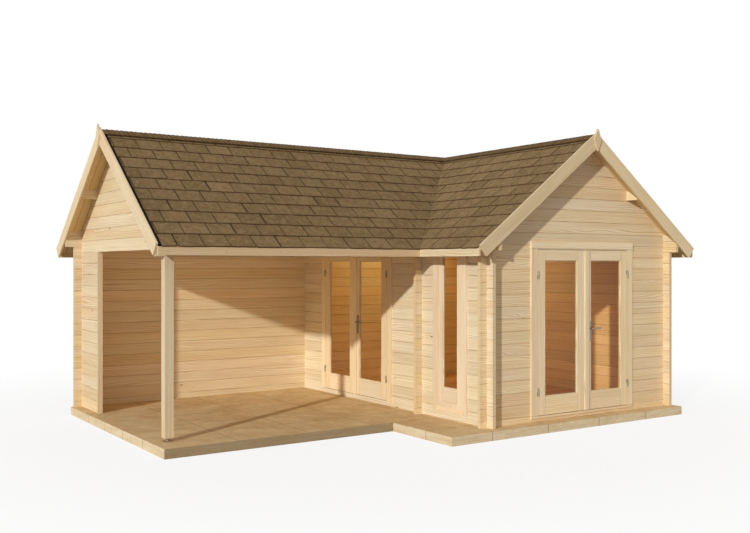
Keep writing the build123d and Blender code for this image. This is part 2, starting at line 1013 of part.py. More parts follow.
def placed(shape):
    """One solid, or a compound of solids, moved to the part's own frame."""
    pieces = shape if isinstance(shape, list) else [shape]
    solids = [to_origin * solid for piece in pieces for solid in piece.solids()]
    return solids[0] if len(solids) == 1 else Compound(solids)


for name, shape in parts.items():
    export_step(placed(shape), "parts/" + name + ".step")
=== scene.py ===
import bmesh
import bpy
import math
import numpy as np
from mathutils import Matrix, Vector


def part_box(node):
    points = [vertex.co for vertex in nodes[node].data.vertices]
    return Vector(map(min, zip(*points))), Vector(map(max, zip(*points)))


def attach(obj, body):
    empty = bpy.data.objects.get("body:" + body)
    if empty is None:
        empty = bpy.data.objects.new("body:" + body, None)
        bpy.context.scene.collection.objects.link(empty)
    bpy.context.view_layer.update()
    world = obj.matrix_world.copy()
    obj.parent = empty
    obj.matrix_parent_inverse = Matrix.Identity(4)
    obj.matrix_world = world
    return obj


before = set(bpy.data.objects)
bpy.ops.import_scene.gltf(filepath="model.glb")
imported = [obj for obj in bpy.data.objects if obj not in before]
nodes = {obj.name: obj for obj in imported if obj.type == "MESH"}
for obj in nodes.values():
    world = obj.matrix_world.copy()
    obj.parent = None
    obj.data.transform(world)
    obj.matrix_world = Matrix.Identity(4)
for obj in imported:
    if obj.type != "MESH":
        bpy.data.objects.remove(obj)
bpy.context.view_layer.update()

rng = np.random.default_rng(41)
print("frame loaded:", len(nodes), "nodes")


# places of the roof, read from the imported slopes
roof = {"pitch": math.radians(36.9), "trim": 0.022}
pitchCos, pitchSin = math.cos(roof["pitch"]), math.sin(roof["pitch"])
rightLow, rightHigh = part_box("wing_roof_right")
mainLow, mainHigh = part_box("main_roof_front")
ridgeX, ridgeY, ridgeZ = rightLow[0], mainHigh[1], rightHigh[2]
leftVerge = mainLow[0] - roof["trim"]
frontVerge = rightLow[1] - roof["trim"]
backVerge = rightHigh[1] + roof["trim"]
slopeLength = (rightHigh[0] + roof["trim"] - ridgeX) / pitchCos


# small helpers for shader trees
def addNode(tree, kind, **settings):
    made = tree.nodes.new(kind)
    for key, value in settings.items():
        setattr(made, key, value)
    return made


def plug(tree, socket, value):
    if isinstance(value, bpy.types.NodeSocket):
        tree.links.new(value, socket)
    else:
        socket.default_value = value


def feed(tree, node, **values):
    for label, value in values.items():
        plug(tree, node.inputs[label], value)
    return node


def calc(tree, operation, *values):
    made = addNode(tree, "ShaderNodeMath", operation=operation)
    for socket, value in zip(made.inputs, values):
        plug(tree, socket, value)
    return made.outputs[0]


def joinVector(tree, x, y, z):
    made = addNode(tree, "ShaderNodeCombineXYZ")
    for socket, value in zip(made.inputs, (x, y, z)):
        plug(tree, socket, value)
    return made.outputs[0]


def splitVector(tree, vector):
    made = addNode(tree, "ShaderNodeSeparateXYZ")
    plug(tree, made.inputs[0], vector)
    return tuple(made.outputs)


def scaleVector(tree, vector, factors):
    made = addNode(tree, "ShaderNodeVectorMath", operation="MULTIPLY")
    plug(tree, made.inputs[0], vector)
    made.inputs[1].default_value = factors
    return made.outputs[0]


def noise(tree, vector, scale, detail=3.0, rough=0.55, warp=0.0):
    made = addNode(tree, "ShaderNodeTexNoise")
    feed(tree, made, Vector=vector, Scale=scale, Detail=detail, Roughness=rough, Distortion=warp)
    return made.outputs["Fac"]


def remap(tree, value, low, high, toLow=0.0, toHigh=1.0):
    made = addNode(tree, "ShaderNodeMapRange", clamp=True)
    plug(tree, made.inputs["Value"], value)
    for name, number in (("From Min", low), ("From Max", high), ("To Min", toLow), ("To Max", toHigh)):
        plug(tree, made.inputs[name], number)
    return made.outputs["Result"]


def blendColour(tree, factor, first, second, way="MIX"):
    made = addNode(tree, "ShaderNodeMix", data_type="RGBA", blend_type=way)
    for place, value in ((0, factor), (6, first), (7, second)):
        plug(tree, made.inputs[place], value)
    return made.outputs[2]


def blendValue(tree, factor, first, second):
    made = addNode(tree, "ShaderNodeMix", data_type="FLOAT")
    for place, value in ((0, factor), (2, first), (3, second)):
        plug(tree, made.inputs[place], value)
    return made.outputs[0]


# a colour laid over a base where a value runs through a span
def tint(tree, base, colour, value, *span):
    return blendColour(tree, remap(tree, value, *span), base, colour)


def distance(tree, x, y):
    return calc(tree, "SQRT", calc(tree, "ADD", calc(tree, "MULTIPLY", x, x), calc(tree, "MULTIPLY", y, y)))


def offLine(tree, value, line):
    return calc(tree, "ABSOLUTE", calc(tree, "SUBTRACT", value, line))


# 0 in the middle of a board or course, 0.5 at its joints
def offMiddle(tree, steps):
    return offLine(tree, calc(tree, "FRACT", steps), 0.5)


# 1 for the rays that show a thing directly, in a mirror or through a pane
def seenByEye(tree):
    ray = addNode(tree, "ShaderNodeLightPath")
    return calc(tree, "MAXIMUM", ray.outputs["Is Camera Ray"],
                calc(tree, "MAXIMUM", ray.outputs["Is Glossy Ray"], ray.outputs["Is Transmission Ray"]))


def srgb(red, green, blue):
    part = np.array([red, green, blue]) / 255.0
    linear = np.where(part <= 0.04045, part / 12.92, ((part + 0.055) / 1.055) ** 2.4)
    return (*linear.tolist(), 1.0)


def newGroup(name, inputs, outputs):
    tree = bpy.data.node_groups.new(name, "ShaderNodeTree")
    for way, sockets in (("INPUT", inputs), ("OUTPUT", outputs)):
        for label, kind in sockets.items():
            tree.interface.new_socket(name=label, in_out=way, socket_type="NodeSocket" + kind)
    return tree, tree.nodes.new("NodeGroupInput").outputs, tree.nodes.new("NodeGroupOutput").inputs


def useGroup(tree, group, **values):
    return feed(tree, addNode(tree, "ShaderNodeGroup", node_tree=group), **values).outputs


def newMaterial(name, roughness=0.6, specular=0.3):
    made = bpy.data.materials.new(name)
    made.use_nodes = True
    shader = made.node_tree.nodes["Principled BSDF"]
    shader.inputs["Roughness"].default_value = roughness
    shader.inputs["Specular IOR Level"].default_value = specular
    return made, made.node_tree, shader


def addBump(tree, shader, height, depth):
    made = feed(tree, addNode(tree, "ShaderNodeBump"), Height=height, Distance=depth)
    tree.links.new(made.outputs["Normal"], shader.inputs["Normal"])


def mixSurface(tree, factor, first, second):
    made = addNode(tree, "ShaderNodeMixShader")
    for socket, value in zip(made.inputs, (factor, first.outputs[0], second.outputs[0])):
        tree.links.new(value, socket)
    tree.links.new(made.outputs[0], tree.nodes["Material Output"].inputs["Surface"])


def readSpot(tree):
    return addNode(tree, "ShaderNodeTexCoord").outputs["Object"]


def readPlace(tree):
    return splitVector(tree, readSpot(tree))


def readFacing(tree):
    return splitVector(tree, addNode(tree, "ShaderNodeTexCoord").outputs["Normal"])


# the spruce figure: stretches are along, across and deep, spans are low and high
grain = {
    "seedStep": 7.31,
    "knotCells": (1.9, 5.2, 2.0),
    "knotSize": (0.03, 0.085),
    "knotEdge": 0.02,
    "haloSize": 0.3,
    "slow": (0.55, 5.0, 5.0),
    "streaks": (1.6, 130.0, 130.0),
    "blotch": (0.9, 6.0, 6.0),
    "bands": (0.7, 42.0, 42.0),
    "bends": (0.16, 0.03, 0.6),                # how far slow noise, knots and depth push the growth lines
    "lineRate": 420.0,
    "shares": (0.34, 0.3, 0.36, 0.3),          # streaks, growth lines, bands and blotches in the figure
    "contrast": (0.4, 0.86),
    "value": (0.925, 1.05),
    "saturation": (0.92, 1.12),
    "hue": (0.493, 0.504),
    "haloShare": 0.25,
    "knotShare": 0.85,
    "rough": (0.2, 0.9, 0.68, 0.54),
    "relief": (0.5, 0.25, 0.4),                # streaks stand up, growth lines and knots lie lower
}


# X of the vector runs along the board, Seed shifts every board elsewhere in the tree
def makeSpruceGroup():
    tree, inlet, outlet = newGroup(
        "spruceFigure",
        {"Vector": "Vector", "Seed": "Float", "Pale": "Color", "Late": "Color", "Knot": "Color", "Knots": "Float"},
        {"Color": "Color", "Rough": "Float", "Height": "Float"})
    along, across, deep = splitVector(tree, inlet["Vector"])
    shift = calc(tree, "MULTIPLY", inlet["Seed"], grain["seedStep"])
    spot = joinVector(tree, calc(tree, "ADD", along, shift), calc(tree, "ADD", across, shift), deep)
    # knots: cell centres of a stretched cell pattern, kept in some cells only
    cells = addNode(tree, "ShaderNodeTexVoronoi", feature="F1")
    feed(tree, cells, Vector=scaleVector(tree, spot, grain["knotCells"]), Scale=1.0, Randomness=0.9)
    cellTone = splitVector(tree, cells.outputs["Color"])
    off = cells.outputs["Distance"]
    kept = calc(tree, "LESS_THAN", cellTone[0], inlet["Knots"])
    knotSize = remap(tree, cellTone[1], 0.0, 1.0, *grain["knotSize"])
    knotCore = calc(tree, "MULTIPLY", kept, remap(tree, off, knotSize, grain["knotEdge"]))
    swell = calc(tree, "MULTIPLY", kept, remap(tree, off, grain["haloSize"], 0.0))
    # growth lines: bands across the board, bent by slow noise and pushed aside by the knots
    slow = noise(tree, scaleVector(tree, spot, grain["slow"]), 1.0, 2.0, 0.5)
    bent = across
    for part, push in zip((slow, swell, deep), grain["bends"]):
        bent = calc(tree, "ADD", bent, calc(tree, "MULTIPLY", part, push))
    wave = calc(tree, "SINE", calc(tree, "MULTIPLY", calc(tree, "ADD", bent, shift), grain["lineRate"]))
    lines = remap(tree, wave, -0.2, 1.0)
    streaks = noise(tree, scaleVector(tree, spot, grain["streaks"]), 1.0, 3.0, 0.6)
    blotch = noise(tree, scaleVector(tree, spot, grain["blotch"]), 1.0, 2.0, 0.5)
    bands = noise(tree, scaleVector(tree, spot, grain["bands"]), 1.0, 2.0, 0.55, 0.3)
    figure = 0.0
    for part, share in zip((streaks, lines, bands, blotch), grain["shares"]):
        figure = calc(tree, "MULTIPLY_ADD", part, share, figure)
    # each board has its own warmth
    own = feed(tree, addNode(tree, "ShaderNodeTexWhiteNoise", noise_dimensions="1D"), W=inlet["Seed"])
    ownParts = splitVector(tree, own.outputs["Color"])
    tone = feed(tree, addNode(tree, "ShaderNodeHueSaturation"),
                Color=tint(tree, inlet["Pale"], inlet["Late"], figure, *grain["contrast"]),
                Value=remap(tree, own.outputs["Value"], 0.0, 1.0, *grain["value"]),
                Saturation=remap(tree, ownParts[1], 0.0, 1.0, *grain["saturation"]),
                Hue=remap(tree, ownParts[2], 0.0, 1.0, *grain["hue"]))
    haloed = blendColour(tree, calc(tree, "MULTIPLY", swell, grain["haloShare"]), tone.outputs["Color"], inlet["Late"])
    knotted = blendColour(tree, calc(tree, "MULTIPLY", knotCore, grain["knotShare"]), haloed, inlet["Knot"])
    tree.links.new(knotted, outlet["Color"])
    tree.links.new(remap(tree, figure, *grain["rough"]), outlet["Rough"])
    raised, sunk, pressed = [calc(tree, "MULTIPLY", part, share)
                             for part, share in zip((streaks, lines, knotCore), grain["relief"])]
    tree.links.new(calc(tree, "SUBTRACT", calc(tree, "SUBTRACT", raised, sunk), pressed), outlet["Height"])
    return tree


# end grain: rings about a heart that lies off the board, with fine specks
endRings = {"heart": (-0.12, 0.12), "wobble": 0.02, "rate": 900.0, "shares": (0.45, 0.5)}


def makeEndGrainGroup():
    tree, inlet, outlet = newGroup(
        "endGrain", {"Vector": "Vector", "Seed": "Float", "Pale": "Color", "Late": "Color"},
        {"Color": "Color", "Height": "Float"})
    across, deep = splitVector(tree, inlet["Vector"])[1:]
    own = feed(tree, addNode(tree, "ShaderNodeTexWhiteNoise", noise_dimensions="1D"), W=inlet["Seed"])
    heart = remap(tree, own.outputs["Value"], 0.0, 1.0, *endRings["heart"])
    away = distance(tree, calc(tree, "ADD", across, heart), deep)
    wobble = calc(tree, "MULTIPLY", noise(tree, inlet["Vector"], 9.0, 2.0), endRings["wobble"])
    ring = calc(tree, "SINE", calc(tree, "MULTIPLY", calc(tree, "ADD", away, wobble), endRings["rate"]))
    speck = noise(tree, inlet["Vector"], 260.0, 2.0, 0.7)
    mask = calc(tree, "MULTIPLY_ADD", remap(tree, ring, -0.4, 1.0), endRings["shares"][0],
                calc(tree, "MULTIPLY", speck, endRings["shares"][1]))
    tree.links.new(blendColour(tree, mask, inlet["Pale"], inlet["Late"]), outlet["Color"])
    tree.links.new(mask, outlet["Height"])
    return tree


spruceGroup = makeSpruceGroup()
endGroup = makeEndGrainGroup()

spruce = {
    "pale": srgb(246, 229, 195),
    "late": srgb(215, 182, 136),
    "knot": srgb(150, 92, 48),
    "endPale": srgb(240, 218, 176),
    "endLate": srgb(218, 184, 134),
    "knots": 0.42,
}
woodRelief = 0.0009
endFacing = 0.7    # a face is end grain where this much of its normal runs along the wood


def endGrainMask(tree, facing):
    return calc(tree, "GREATER_THAN", calc(tree, "ABSOLUTE", facing), endFacing)


# spruce colour from sockets along, across and deep and a seed; endMask is 1 on end grain
def finishSpruce(tree, shader, along, across, deep, seed, endMask, look):
    spot = joinVector(tree, along, across, deep)
    figure = useGroup(tree, spruceGroup, Vector=spot, Seed=seed, Pale=look["pale"], Late=look["late"],
                      Knot=look["knot"], Knots=look["knots"])
    ends = useGroup(tree, endGroup, Vector=spot, Seed=seed, Pale=look["endPale"], Late=look["endLate"])
    tree.links.new(figure["Rough"], shader.inputs["Roughness"])
    addBump(tree, shader, blendValue(tree, endMask, figure["Height"], ends["Height"]), woodRelief)
    return blendColour(tree, endMask, figure["Color"], ends["Color"])


# painted warm shade: the room's own faces get a warmer, darker tone for the dim warm light inside it; a mask of the
# box that the floor fills
roomPaintedShade = {"tone": srgb(253, 234, 202), "reach": 0.008}


def makeRoomGroup():
    tree, inlet, outlet = newGroup("roomMask", {"Vector": "Vector"}, {"Mask": "Float"})
    place = splitVector(tree, inlet["Vector"])
    low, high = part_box("room_floor")
    past = [calc(tree, "GREATER_THAN", place[axis], low[axis] - roomPaintedShade["reach"]) for axis in (0, 1)]
    before = [calc(tree, "LESS_THAN", place[axis], high[axis] + roomPaintedShade["reach"]) for axis in (0, 1)]
    within = calc(tree, "MULTIPLY", calc(tree, "MULTIPLY", *past), calc(tree, "MULTIPLY", *before))
    tree.links.new(within, outlet["Mask"])
    return tree


roomGroup = makeRoomGroup()


# multiplies the painted warm shade over the colour of every face inside the room
def paintRoomShade(tree, place, colour):
    mask = useGroup(tree, roomGroup, Vector=joinVector(tree, *place))
    return blendColour(tree, mask["Mask"], colour, roomPaintedShade["tone"], "MULTIPLY")


# logs: the course number comes from the height, and each course is its own log
logWall = {
    "course": 0.14,
    "slab": 0.1,
    "joint": (0.462, 0.497),
    "jointDark": srgb(138, 94, 56),
    "jointShade": (0.16, 0.52),
    "shadeSpan": (0.35, 0.62),
    "levelFacing": 0.95,
    "wallsPerMetre": 1.7,
    "wallSeed": 13.7,
}


def makeLogMaterial(name, axis, firstJoint, **changes):
    made, tree, shader = newMaterial(name)
    place, facing = readPlace(tree), readFacing(tree)
    rise = calc(tree, "SUBTRACT", place[2], logWall["slab"] + firstJoint)
    courses = calc(tree, "DIVIDE", rise, logWall["course"])
    wall = calc(tree, "FLOOR", calc(tree, "MULTIPLY", place[1 - axis], logWall["wallsPerMetre"]))
    seed = calc(tree, "MULTIPLY_ADD", wall, logWall["wallSeed"], calc(tree, "FLOOR", courses))
    colour = finishSpruce(tree, shader, place[axis], place[2], place[1 - axis], seed,
                          endGrainMask(tree, facing[axis]), dict(spruce, **changes))
    # the V joints hold a little shade and dust, uneven along the log
    nearJoint = remap(tree, offMiddle(tree, courses), *logWall["joint"])
    upright = calc(tree, "LESS_THAN", calc(tree, "ABSOLUTE", facing[2]), logWall["levelFacing"])
    fade = noise(tree, joinVector(tree, place[axis], calc(tree, "MULTIPLY", seed, 3.1), 0.0), 1.7, 3.0)
    shade = remap(tree, fade, *logWall["shadeSpan"], *logWall["jointShade"])
    dark = calc(tree, "MULTIPLY", calc(tree, "MULTIPLY", nearJoint, shade), upright)
    jointed = blendColour(tree, dark, colour, logWall["jointDark"])
    tree.links.new(paintRoomShade(tree, place, jointed), shader.inputs["Base Color"])
    return made


logsAlongX = makeLogMaterial("logsAlongX", 0, 0.07)
logsAlongY = makeLogMaterial("logsAlongY", 1, 0.0)
# painted light: the front and terrace walls get paler copies of the log wood, for the stronger light on those faces
logsFrontPaintedLight = makeLogMaterial("logsFrontPaintedLight", 0, 0.07, pale=srgb(252, 234, 200), late=srgb(221, 187, 140))
logsTerracePaintedLight = makeLogMaterial("logsTerracePaintedLight", 1, 0.0, pale=srgb(248, 236, 207), late=srgb(217, 190, 148))


# straight boards: one grain direction for the whole node
def makeBoardMaterial(name, axis, across, **changes):
    made, tree, shader = newMaterial(name)
    place, facing = readPlace(tree), readFacing(tree)
    deep = place[3 - axis - across]
    colour = finishSpruce(tree, shader, place[axis], place[across], deep, calc(tree, "FLOOR", deep),
                          endGrainMask(tree, facing[axis]), dict(spruce, knots=0.2, **changes))
    tree.links.new(colour, shader.inputs["Base Color"])
    return made


# frames: upright pieces between two level pieces, with a fine joint where they meet
frameLook = {
    "jointHalf": 0.0011,
    "jointDark": srgb(132, 92, 54),
    "jointShare": 0.8,
    "wood": dict(spruce, pale=srgb(255, 239, 207), late=srgb(228, 197, 152), knots=0.1),
}


def atLines(tree, value, lines):
    off = calc(tree, "MINIMUM", offLine(tree, value, lines[0]), offLine(tree, value, lines[1]))
    return calc(tree, "LESS_THAN", off, frameLook["jointHalf"])


def makeFrameMaterial(name, wallAxis, edges, levels, levelFirst):
    made, tree, shader = newMaterial(name, 0.55)
    place = readPlace(tree)
    beside, up, deep = place[wallAxis], place[2], place[1 - wallAxis]
    ends = calc(tree, "MAXIMUM", calc(tree, "LESS_THAN", up, levels[0]), calc(tree, "GREATER_THAN", up, levels[1]))
    if levelFirst:
        level, gap = ends, atLines(tree, up, levels)
    else:
        inside = calc(tree, "MULTIPLY", calc(tree, "GREATER_THAN", beside, edges[0]),
                      calc(tree, "LESS_THAN", beside, edges[1]))
        level, gap = [calc(tree, "MULTIPLY", part, ends) for part in (inside, atLines(tree, beside, edges))]
    along = blendValue(tree, level, up, beside)
    across = blendValue(tree, level, beside, up)
    # the four pieces and the frames themselves get seeds of their own
    half = calc(tree, "GREATER_THAN", beside, (edges[0] + edges[1]) / 2)
    top = calc(tree, "GREATER_THAN", up, (levels[0] + levels[1]) / 2)
    seed = calc(tree, "ADD", blendValue(tree, level, half, calc(tree, "ADD", top, 2.0)), float(len(name)))
    colour = finishSpruce(tree, shader, along, across, deep, seed, 0.0, frameLook["wood"])
    dark = calc(tree, "MULTIPLY", gap, frameLook["jointShare"])
    tree.links.new(blendColour(tree, dark, colour, frameLook["jointDark"]), shader.inputs["Base Color"])
    return made


# barge boards: the grain follows the slope of the gable that carries the board
def makeBargeMaterial(name):
    made, tree, shader = newMaterial(name, 0.55)
    place = readPlace(tree)
    onLeft = calc(tree, "LESS_THAN", place[0], leftVerge + 0.1)
    behind = calc(tree, "GREATER_THAN", place[1], 0.0)
    fromRidge = blendValue(tree, onLeft, calc(tree, "SUBTRACT", place[0], ridgeX),
                           calc(tree, "SUBTRACT", place[1], ridgeY))
    reach, hand = calc(tree, "ABSOLUTE", fromRidge), calc(tree, "SIGN", fromRidge)
    along = calc(tree, "SUBTRACT", calc(tree, "MULTIPLY", reach, pitchCos), calc(tree, "MULTIPLY", place[2], pitchSin))
    across = calc(tree, "ADD", calc(tree, "MULTIPLY", reach, pitchSin), calc(tree, "MULTIPLY", place[2], pitchCos))
    deep = blendValue(tree, onLeft, place[1], place[0])
    # seeds that tell the boards of three gables apart
    seed = calc(tree, "ADD", calc(tree, "MULTIPLY", hand, 3.0),
                calc(tree, "ADD", calc(tree, "MULTIPLY", onLeft, 11.0), calc(tree, "MULTIPLY", behind, 5.0)))
    colour = finishSpruce(tree, shader, along, across, deep, seed, 0.0, dict(spruce, knots=0.16))
    tree.links.new(colour, shader.inputs["Base Color"])
    return made


# roof slopes: boards run from ridge to eave underneath, dark underlay on top
underRoof = {
    "board": 0.096,
    "look": dict(spruce, pale=srgb(252, 228, 180), late=srgb(230, 192, 134), knots=0.35),
    "joint": (0.46, 0.49, 0.0, 0.75),
    "gap": srgb(96, 62, 34),
    "darkLayer": srgb(58, 45, 32),
    "upFacing": 0.2,
}


# room floor: planed boards along X with open joints
floorBoards = {
    "board": 0.098,
    "look": dict(spruce, pale=srgb(206, 150, 96), late=srgb(168, 108, 60), knot=srgb(96, 54, 28), knots=0.3),
    "joint": (0.468, 0.49),
    "gap": srgb(60, 36, 22),
}


# boards side by side along one axis, with a dark gap between them
def layBoards(tree, shader, axis, kind):
    place = readPlace(tree)
    boards = calc(tree, "DIVIDE", place[axis], kind["board"])
    colour = finishSpruce(tree, shader, place[1 - axis], place[axis], place[2], calc(tree, "FLOOR", boards), 0.0,
                          kind["look"])
    return tint(tree, colour, kind["gap"], offMiddle(tree, boards), *kind["joint"])


def makeRoofMaterial(name, axis):
    made, tree, shader = newMaterial(name, 0.7, 0.08)
    above = calc(tree, "GREATER_THAN", readFacing(tree)[2], underRoof["upFacing"])
    covered = blendColour(tree, above, layBoards(tree, shader, axis, underRoof), underRoof["darkLayer"])
    tree.links.new(covered, shader.inputs["Base Color"])
    return made


def makeFloorMaterial():
    made, tree, shader = newMaterial("floorBoards", 0.5)
    tree.links.new(layBoards(tree, shader, 1, floorBoards), shader.inputs["Base Color"])
    return made


# sandstone base: soft clouds, fine sand and faint joints between large flags
stone = {
    "body": srgb(232, 207, 163),
    "dark": srgb(206, 175, 129),
    "warm": srgb(243, 219, 174),
    "stain": srgb(200, 153, 95),
    # edge is the paler colour painted on the slab's upright sides as painted light
    "edge": srgb(252, 238, 209),
    "joint": srgb(138, 112, 76),
    "flag": (0.83, 0.62),
    "seam": ((0.493, 0.4965), (0.4905, 0.4955)),
    "seamShare": 0.7,
    "relief": 0.002,
}


def makeStoneMaterial():
    made, tree, shader = newMaterial("sandstone", 0.85, 0.15)
    place, facing, spot = readPlace(tree), readFacing(tree), readSpot(tree)
    cloud = noise(tree, spot, 1.5, 5.0, 0.6, 0.5)
    patch = noise(tree, spot, 7.5, 5.0, 0.7, 0.3)
    pits = noise(tree, scaleVector(tree, spot, (1.0, 2.6, 6.0)), 17.0, 4.0, 0.7)
    stain = noise(tree, scaleVector(tree, spot, (1.0, 1.0, 0.3)), 1.3, 5.0, 0.6)
    sand = noise(tree, spot, 150.0, 2.0, 0.75)
    bed = noise(tree, scaleVector(tree, spot, (1.0, 1.0, 16.0)), 2.6, 3.0)
    base = tint(tree, stone["dark"], stone["body"], cloud, 0.35, 0.65)
    base = tint(tree, base, stone["warm"], patch, 0.46, 0.7, 0.0, 0.75)
    base = tint(tree, base, stone["stain"], stain, 0.52, 0.7, 0.0, 0.6)
    # painted light: upright faces are painted paler, in streaks that follow the stone's beds
    upright = calc(tree, "LESS_THAN", facing[2], 0.5)
    bedsAndPaintedLight = calc(tree, "MULTIPLY", upright, remap(tree, bed, 0.35, 0.7, 0.25, 0.85))
    base = blendColour(tree, bedsAndPaintedLight, base, stone["edge"])
    base = tint(tree, base, stone["dark"], pits, 0.52, 0.3, 0.0, 0.6)
    base = tint(tree, base, stone["dark"], sand, 0.35, 0.75, 0.0, 0.3)
    flags = [calc(tree, "DIVIDE", place[axis], stone["flag"][axis]) for axis in (0, 1)]
    seams = [remap(tree, offMiddle(tree, flags[axis]), *stone["seam"][axis]) for axis in (0, 1)]
    seam = calc(tree, "MAXIMUM", *seams)
    jointed = blendColour(tree, calc(tree, "MULTIPLY", seam, stone["seamShare"]), base, stone["joint"])
    tree.links.new(jointed, shader.inputs["Base Color"])
    height = calc(tree, "SUBTRACT", calc(tree, "MULTIPLY_ADD", sand, 0.3, cloud), seam)
    addBump(tree, shader, height, stone["relief"])
    tree.links.new(remap(tree, sand, 0.3, 0.8, 0.8, 0.95), shader.inputs["Roughness"])
    return made


# metal: fine brush lines run upright, the hinges are duller and browner than the handles
metal = {
    "brushedSteel": {"metallic": 1.0, "low": srgb(132, 124, 112), "high": srgb(170, 161, 147), "rough": (0.3, 0.46)},
    "dullHinge": {"metallic": 0.5, "low": srgb(150, 136, 114), "high": srgb(184, 170, 146), "rough": (0.45, 0.62)},
    "darkFoot": {"metallic": 0.4, "low": srgb(158, 136, 108), "high": srgb(184, 160, 128), "rough": (0.5, 0.65)},
}
brushLines = {"stretch": (900.0, 900.0, 40.0), "relief": 0.0001}


def makeMetalMaterial(name):
    look = metal[name]
    made, tree, shader = newMaterial(name, 0.4, 0.2)
    shader.inputs["Metallic"].default_value = look["metallic"]
    brush = noise(tree, scaleVector(tree, readSpot(tree), brushLines["stretch"]), 1.0, 2.0)
    tree.links.new(blendColour(tree, brush, look["low"], look["high"]), shader.inputs["Base Color"])
    tree.links.new(remap(tree, brush, 0.2, 0.8, *look["rough"]), shader.inputs["Roughness"])
    addBump(tree, shader, brush, brushLines["relief"])
    return made


# panes let the light through to the room, and dust makes them a little dull
pane = {"colour": (0.97, 0.985, 0.975, 1.0), "through": (0.94, 0.89, 0.8, 1.0), "ior": 1.2, "dust": (0.005, 0.05)}


def makeGlassMaterial():
    made, tree, shader = newMaterial("paneGlass", 0.02)
    shader.inputs["Base Color"].default_value = pane["colour"]
    shader.inputs["Transmission Weight"].default_value = 1.0
    shader.inputs["IOR"].default_value = pane["ior"]
    dust = noise(tree, readSpot(tree), 7.0, 4.0)
    tree.links.new(remap(tree, dust, 0.35, 0.75, *pane["dust"]), shader.inputs["Roughness"])
    clear = feed(tree, addNode(tree, "ShaderNodeBsdfTransparent"), Color=pane["through"])
    ray = addNode(tree, "ShaderNodeLightPath")
    shadowOrBounce = calc(tree, "MAXIMUM", ray.outputs["Is Shadow Ray"], ray.outputs["Is Diffuse Ray"])
    mixSurface(tree, shadowOrBounce, shader, clear)
    return made


steel = makeMetalMaterial("brushedSteel")
hingeMetal = makeMetalMaterial("dullHinge")
footMetal = makeMetalMaterial("darkFoot")
glass = makeGlassMaterial()
bargeWood = makeBargeMaterial("bargeBoards")
boardsAlongX = makeBoardMaterial("boardsAlongX", 0, 2, pale=srgb(234, 210, 168), late=srgb(214, 181, 132))
boardsAlongY = makeBoardMaterial("boardsAlongY", 1, 2)
beamsAlongX = makeBoardMaterial("beamsAlongX", 0, 2, pale=srgb(254, 238, 204), late=srgb(228, 196, 148))
uprightWood = makeBoardMaterial("uprightBoards", 2, 0)
roofAlongX = makeRoofMaterial("roofBoardsMain", 0)
roofAlongY = makeRoofMaterial("roofBoardsRoom", 1)


def dress(material, *names):
    for name in names:
        slots = nodes[name].material_slots
        if len(slots) == 0:
            nodes[name].data.materials.append(material)
        for place in slots:
            place.material = material


dress(makeStoneMaterial(), "base_slab")
dress(makeFloorMaterial(), "room_floor")
dress(logsAlongX, "back_wall", "back_plate", "back_gable", "front_beam", "cross_stub")
dress(logsFrontPaintedLight, "front_gable", "front_wall_left", "front_wall_right", "front_threshold")
dress(logsAlongY, "right_wall", "stub_wall", "left_gable")
dress(logsTerracePaintedLight, "terrace_wall_front", "terrace_wall_middle", "terrace_wall_back", "terrace_threshold",
      "window_sill_log", "terrace_gable")
dress(boardsAlongX, "main_fascia")
dress(beamsAlongX, "main_roof_beams")
dress(boardsAlongY, "wing_fascia", "wing_roof_beams")
dress(uprightWood, "corner_post", "stub_trim", "finials")
dress(bargeWood, "barge_boards_left_hand", "barge_boards_right_hand")
dress(roofAlongX, "main_roof_front", "main_roof_back")
dress(roofAlongY, "wing_roof_left", "wing_roof_rear", "wing_roof_right")
dress(footMetal, "post_foot")
dress(hingeMetal, *[name for name in nodes if name.endswith("_hinges") or name.endswith("_left_fittings")])
dress(steel, *[name for name in nodes if name.endswith("_right_fittings")])
dress(glass, *[name for name in nodes if name.endswith("_glass")])

# widths of the frames' pieces: beside the opening, under it and over it
frameWidths = {
    "door": (0.048, 0.028, 0.08),
    "leaf": (0.112, 0.21, 0.12),
    "window": (0.052, 0.052, 0.052),
    "sash": (0.07, 0.165, 0.07),
}


def dressFrame(node, name, axis, kind, levelFirst=False):
    low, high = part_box(node)
    beside, under, over = frameWidths[kind]
    edges = (low[axis] + beside, high[axis] - beside)
    dress(makeFrameMaterial(name, axis, edges, (low[2] + under, high[2] - over), levelFirst), node)


doorWalls = (("front", 0), ("terrace", 1))    # each with the axis that its wall runs along
for wall, axis in doorWalls:
    dressFrame(wall + "_door_frame", wall + "DoorFrame", axis, "door", True)
    for hand in ("left", "right"):
        dressFrame(wall + "_leaf_" + hand, wall + hand.title() + "Leaf", axis, "leaf")
dressFrame("window_frame", "windowFrame", 1, "window")
dressFrame("window_sash", "windowSash", 1, "sash")
print("wood, stone, steel and glass placed on the packed nodes")


def addObject(name, data):
    made = bpy.data.objects.new(name, data)
    bpy.context.scene.collection.objects.link(made)
    return made


